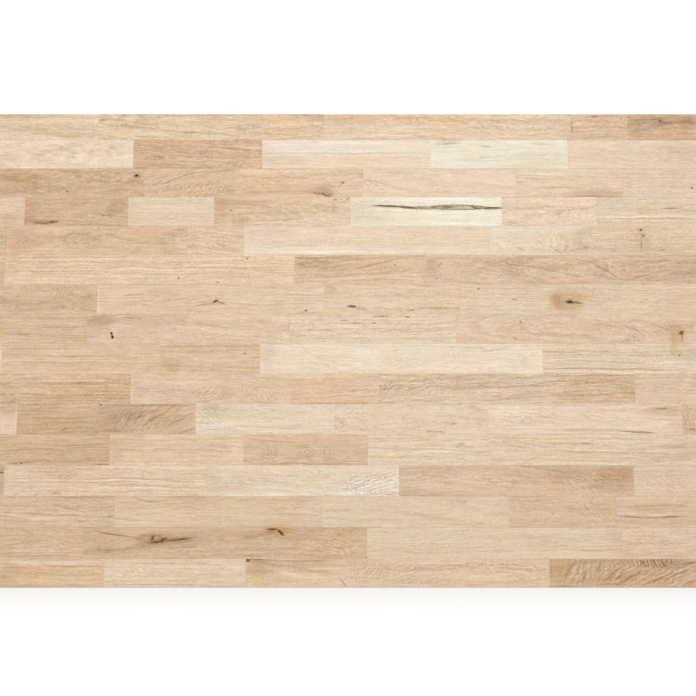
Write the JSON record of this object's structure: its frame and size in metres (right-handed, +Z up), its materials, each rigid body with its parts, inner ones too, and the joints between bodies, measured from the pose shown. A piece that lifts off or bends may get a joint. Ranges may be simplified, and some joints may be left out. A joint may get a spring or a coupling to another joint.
{
  "type": "butcher block countertop",
  "caption": "Solid oak butcher block countertop: full-thickness staves finger jointed end to end and glued side by side, with eased edges and a bare sanded face.",
  "frame": {"origin": "the middle of the underside", "axes": "+X runs right along the grain, +Y to the back edge, +Z up out of the worktop"},
  "size_m": [1.219, 0.635, 0.038],
  "materials": {
    "oak": "bare sanded rustic oak, matte"
  },
  "bodies": {
    "root": {"stave_row_01": "oak", "stave_row_02": "oak", "stave_row_03": "oak", "stave_row_04": "oak", "stave_row_05": "oak", "stave_row_06": "oak", "stave_row_07": "oak", "stave_row_08": "oak", "stave_row_09": "oak", "stave_row_10": "oak", "stave_row_11": "oak", "stave_row_12": "oak", "stave_row_13": "oak", "stave_row_14": "oak", "stave_row_15": "oak", "stave_row_16": "oak"}
  },
  "joints": []
}
